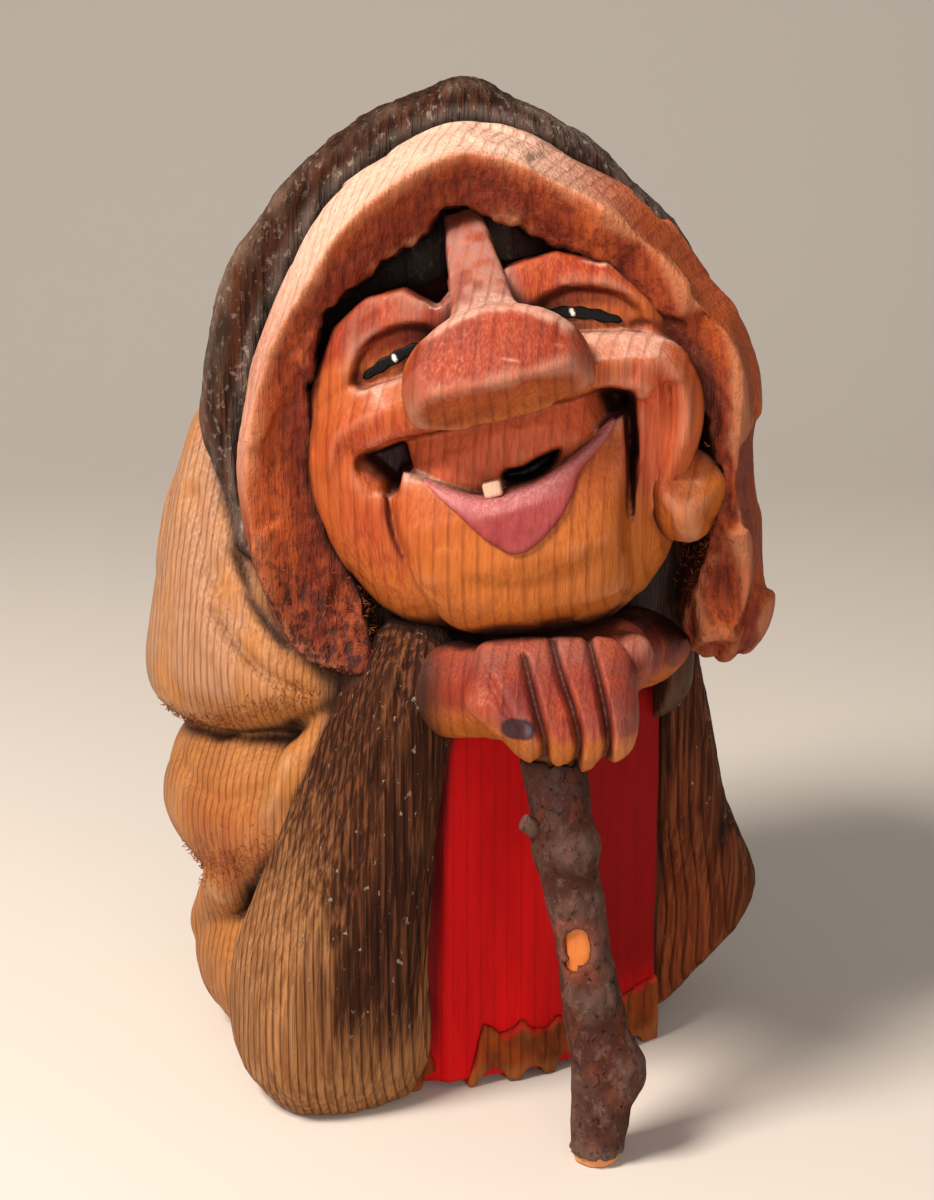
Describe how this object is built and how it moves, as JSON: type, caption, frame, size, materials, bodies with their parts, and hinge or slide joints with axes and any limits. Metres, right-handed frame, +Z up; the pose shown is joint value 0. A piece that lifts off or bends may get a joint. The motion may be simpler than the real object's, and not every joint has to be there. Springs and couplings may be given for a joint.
{
  "type": "carved troll figure",
  "caption": "Carved wooden troll woman in a kerchief, cloak and red apron, laughing, with her hands crossed on a twig walking stick that pulls out of her fist.",
  "frame": {"origin": "on the floor under the middle of the figure's base", "axes": "+Z up, the face looks along -Y, the figure's own right side is at -X"},
  "size_m": [0.0998, 0.0961, 0.1504],
  "materials": {
    "stained_pine": "yellow-brown stain, oiled",
    "red_paint": "thin red paint on knife-cut wood",
    "hem_stain": "brown stain",
    "dark_stain": "dark stain, rough grain",
    "flushed_pine": "oiled pine with a reddish blush",
    "bare_pine": "oiled pine, knife cut",
    "pink_paint": "thin pink paint",
    "bare_tooth": "bare pine",
    "black_paint": "glossy black paint with white glints",
    "log_bark": "rough dark bark",
    "twig_wood": "bare twig wood",
    "twig_bark": "natural twig bark"
  },
  "bodies": {
    "figure": {"cloak": "stained_pine", "apron": "red_paint", "skirt_hem": "hem_stain", "right_sleeve": "dark_stain", "left_sleeve": "dark_stain", "right_forearm": "flushed_pine", "left_forearm": "flushed_pine", "right_hand": "flushed_pine", "left_hand": "flushed_pine", "head": "flushed_pine", "nose": "flushed_pine", "lower_lip": "pink_paint", "tooth": "bare_tooth", "left_ear": "flushed_pine", "eyes": "black_paint", "kerchief": "bare_pine", "hood_back": "log_bark"},
    "stick": {"stick_wood": "twig_wood", "stick_bark": "twig_bark", "twig_stub": "twig_bark"}
  },
  "joints": [
    {"name": "stick_draw", "type": "slide", "parent": "figure", "child": "stick", "axis": [0.1349, -0.1113, -0.9846], "range_m": [0, 0.016]}
  ]
}
